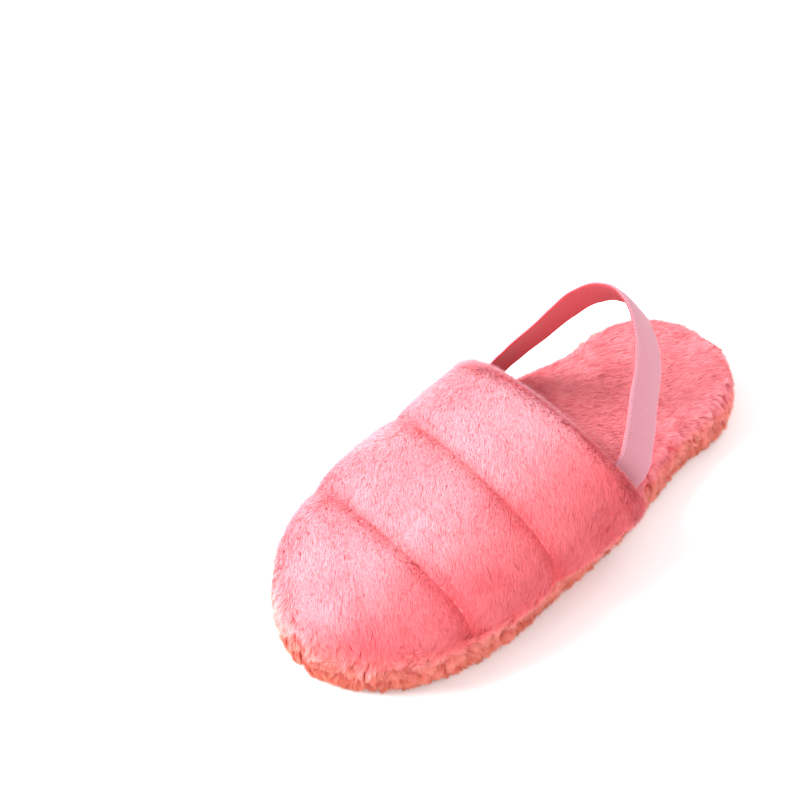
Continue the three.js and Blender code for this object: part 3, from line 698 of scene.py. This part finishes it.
def tube(name, path, radius, sides=8):
    """Round tube along a path: a circle set across the path at each point, its ends drawn to a point."""
    along = np.gradient(path, axis=0)
    along /= np.linalg.norm(along, axis=1, keepdims=True)
    out = np.cross(along, [0, 1, 0])
    out /= np.linalg.norm(out, axis=1, keepdims=True)
    over = np.cross(along, out)
    angle = np.linspace(0, 2 * np.pi, sides, endpoint=False)[None, :, None]
    taper = np.full(len(path), radius)
    taper[[0, -1]] = 0
    ring = (np.cos(angle) * out[:, None] + np.sin(angle) * over[:, None]) * taper[:, None, None]
    return grid_mesh(name, path[:, None] + ring, wrap_columns=True)


ROW_START = 0.04
for row_name, (seam, askew) in SEAMS.items():
    turn = np.linspace(ROW_START, np.pi - ROW_START, 400)
    line = upper_point(seam - askew * np.cos(turn), turn, -0.2 * MM)
    length = np.concatenate([[0], np.cumsum(np.linalg.norm(np.diff(line, axis=0), axis=1))])
    dip = np.abs(np.sin(np.pi * length / STITCH_LENGTH)) ** 0.5
    line[:, 2] += (dip - 0.6) * MM
    stitches = tube(f"{row_name}_quilt_stitches", line, THREAD_RADIUS)
    stitches.data.materials.append(thread)
    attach(stitches, "root")
    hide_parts(f"{row_name}_quilt_thread")

# ---------------------------------------------------------------------------------------------------
# Heel strap: one length of woven elastic, 25 mm wide, with a thicker cord along each selvedge. Its
# ends are caught in the sole seam just inside the throat, and it arches over the heel opening.

STRAP_WIDTH = 25 * MM
STRAP_THICKNESS = 1.3 * MM
STRAP_CUP = 0.9 * MM
SELVEDGE = 0.35 * MM
WEAVE_PITCH = 1.4 * MM


def strap_path(count):
    """Middle line of the strap from the right end to the left, as a smooth curve through chosen points."""
    right = np.array(
        [
            [37.0, 9.0, 24.0], [40.5, 18.0, 30.0], [42.8, 28.0, 38.5], [38.5, 36.5, 49.0], [32.3, 44.6, 60.0],
            [26.0, 53.2, 71.5], [17.4, 59.0, 83.5], [8.5, 62.2, 90.2], [0.0, 63.2, 92.4],
        ]
    ) * MM
    left = right[:-1][::-1] * [-1, 1, 1]
    points = np.concatenate([right, left])
    length = np.concatenate([[0], np.cumsum(np.linalg.norm(np.diff(points, axis=0), axis=1))])
    at = np.linspace(0, length[-1], count)
    path = np.stack([smooth_curve(np.stack([length, points[:, k]], 1), at) for k in range(3)], 1)
    return path, at


path, path_length = strap_path(241)
along = np.gradient(path, axis=0)
along /= np.linalg.norm(along, axis=1, keepdims=True)
wide = np.array([0.0, 0.60, -0.77]) + path * [5, 0, 0]
wide -= (wide * along).sum(1, keepdims=True) * along
wide /= np.linalg.norm(wide, axis=1, keepdims=True)
face = np.cross(along, wide)
face *= np.sign((face * (path - [0, 0.05, 0.03])).sum(1).mean())
across = np.sin(np.linspace(-1, 1, 49) * np.pi / 2)
selvedge = SELVEDGE * np.exp(-(((np.abs(across) - 0.94) / 0.045) ** 2))
half_thickness = STRAP_THICKNESS / 2 * np.sqrt(np.clip(1 - np.abs(across) ** 12, 0, 1)) + selvedge
cup = STRAP_CUP * (1 - across**2)
flat = path[:, None] + wide[:, None] * across[None, :, None] * STRAP_WIDTH / 2
outer = flat + face[:, None] * (cup + half_thickness)[None, :, None]
inner = flat + face[:, None] * (cup - half_thickness)[None, :, None]
ends = np.repeat(flat[[0, -1]][:, :, None], 2, 2).transpose(0, 2, 1, 3).reshape(2, -1, 3)
webbing_points = np.concatenate([outer, inner[:, ::-1]], 1)
webbing_points = np.concatenate([ends[:1], webbing_points, ends[1:]], 0)
webbing_points[0, len(across):] = webbing_points[0, :len(across)][::-1]
webbing_points[-1, len(across):] = webbing_points[-1, :len(across)][::-1]
strap = grid_mesh("heel_strap_webbing", webbing_points, wrap_columns=True)


def webbing_material(name, dark, light):
    """Woven elastic: checks of warp and weft under a millimetre across, and a paler cord near each edge.
"""
    material, shader = new_material(name, 0.6, 0.2, 0.3)
    shader.inputs["Sheen Tint"].default_value = (0.95, 0.85, 0.95, 1)
    weave = add_node(material, "ShaderNodeAttribute", attribute_name="weave")
    axes = add_node(material, "ShaderNodeSeparateXYZ", [("Vector", weave, "Vector")])
    warp = add_node(material, "ShaderNodeMath", operation="SINE")
    weft = add_node(material, "ShaderNodeMath", operation="SINE")
    checks = add_node(
        material, "ShaderNodeMath", [(0, warp, "Value"), (1, weft, "Value")], operation="MULTIPLY"
    )
    for wave, axis in ((warp, "X"), (weft, "Y")):
        scaled = add_node(material, "ShaderNodeMath", [(0, axes, axis)], operation="MULTIPLY")
        scaled.inputs[1].default_value = 2 * math.pi / WEAVE_PITCH
        material.node_tree.links.new(scaled.outputs["Value"], wave.inputs[0])
    ramp = colour_between(material, (checks, "Value"), dark, light, 0.0, 1.0)
    cord = colour_between(material, (axes, "Z"), (1, 1, 1), (1.18, 1.35, 1.35), 0.45, 0.75)
    striped = multiply(material, (ramp, "Color"), (cord, "Color"))
    material.node_tree.links.new(striped.outputs["Result"], shader.inputs["Base Color"])
    add_bump(material, shader, (checks, "Value"), 0.15 * MM, 0.7)
    return material


# The inner face is coloured deeper and redder than the outer: partly a weave that differs face to face,
# partly painted light, the outer face lit paler and the inner one in painted shade.
strap.data.materials.append(webbing_material("webbing_outer", (0.48, 0.18, 0.23), (0.61, 0.255, 0.32)))
strap.data.materials.append(webbing_material("webbing_inner", (0.55, 0.042, 0.05), (0.68, 0.066, 0.08)))
centre = np.empty(len(strap.data.polygons) * 3)
strap.data.polygons.foreach_get("center", centre)
facing = np.empty(len(strap.data.polygons) * 3)
strap.data.polygons.foreach_get("normal", facing)
centre, facing = centre.reshape(-1, 3), facing.reshape(-1, 3)
nearest = np.argmin(((centre[:, None] - path[None, ::4]) ** 2).sum(-1), 1) * 4
is_inner = (facing * face[nearest]).sum(1) < -0.2
strap.data.polygons.foreach_set("material_index", is_inner.astype(np.int32))
points = np.empty(len(strap.data.vertices) * 3)
strap.data.vertices.foreach_get("co", points)
points = points.reshape(-1, 3)
nearest = np.argmin(((points[:, None] - path[None, ::2]) ** 2).sum(-1), 1) * 2
offset = points - path[nearest]
across_at = (offset * wide[nearest]).sum(1)
run_at = path_length[nearest] + (offset * along[nearest]).sum(1)
near_cord = np.exp(-(((np.abs(across_at) / (STRAP_WIDTH / 2) - 0.92) / 0.05) ** 2))
weave = strap.data.attributes.new("weave", "FLOAT_VECTOR", "POINT")
woven = np.stack([run_at, across_at, near_cord], 1)
weave.data.foreach_set("vector", woven.reshape(-1).astype(np.float32))
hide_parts("heel_strap", "strap_end_right", "strap_end_left")
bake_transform(strap)

# ---------------------------------------------------------------------------------------------------
# Setting: a pale floor, a large soft light high on the toe's far side, two weaker ones behind the heel
# and low on the near side, and the camera.

bpy.ops.mesh.primitive_plane_add(size=30, location=(0, 0, -0.0002))
floor = bpy.context.object
floor.name = "floor"
floor_material, floor_shader = new_material("floor", 0.9)
floor_shader.inputs["Base Color"].default_value = (0.92, 0.92, 0.92, 1)
floor.data.materials.append(floor_material)

world = bpy.data.worlds.new("studio")
world.use_nodes = True
world.node_tree.nodes["Background"].inputs["Color"].default_value = (1, 0.95, 0.94, 1)
world.node_tree.nodes["Background"].inputs["Strength"].default_value = 0.95
bpy.context.scene.world = world
bpy.context.scene.view_settings.view_transform = "Standard"


def soft_light(name, place, size, power):
    """Square area light aimed at the slipper."""
    lamp = bpy.data.lights.new(name, "AREA")
    lamp.size = size
    lamp.energy = power
    holder = bpy.data.objects.new(name, lamp)
    holder.location = place
    holder.rotation_euler = (Vector((0, 0, 0.03)) - Vector(place)).to_track_quat("-Z", "Y").to_euler()
    bpy.context.scene.collection.objects.link(holder)


# Places are in metres and powers in watts.
soft_light("key_light", (-0.85, -0.75, 0.95), 0.8, 45)
soft_light("fill_light", (0.2, 0.9, 1.1), 0.9, 5)
soft_light("near_light", (1.1, -0.7, 0.55), 1.0, 7.5)

# The camera has the photograph's viewing angle, and aims at the floor between the pair's two slippers.
AZIMUTH = math.radians(-43.56)
ELEVATION = math.radians(45.25)
DISTANCE = 807 * MM
AIM = Vector((-87.9, 7.9, 0)) * MM
view = bpy.data.cameras.new("camera")
view.lens = 72.04
view.sensor_width = 36
view.clip_start = 0.01
camera = bpy.data.objects.new("camera", view)
level = math.cos(ELEVATION)
back = Vector((level * math.cos(AZIMUTH), level * math.sin(AZIMUTH), math.sin(ELEVATION)))
turned = back.to_track_quat("Z", "Y").to_matrix().to_4x4()
camera.matrix_world = Matrix.Translation(AIM + DISTANCE * back) @ turned
bpy.context.scene.collection.objects.link(camera)
bpy.context.scene.camera = camera
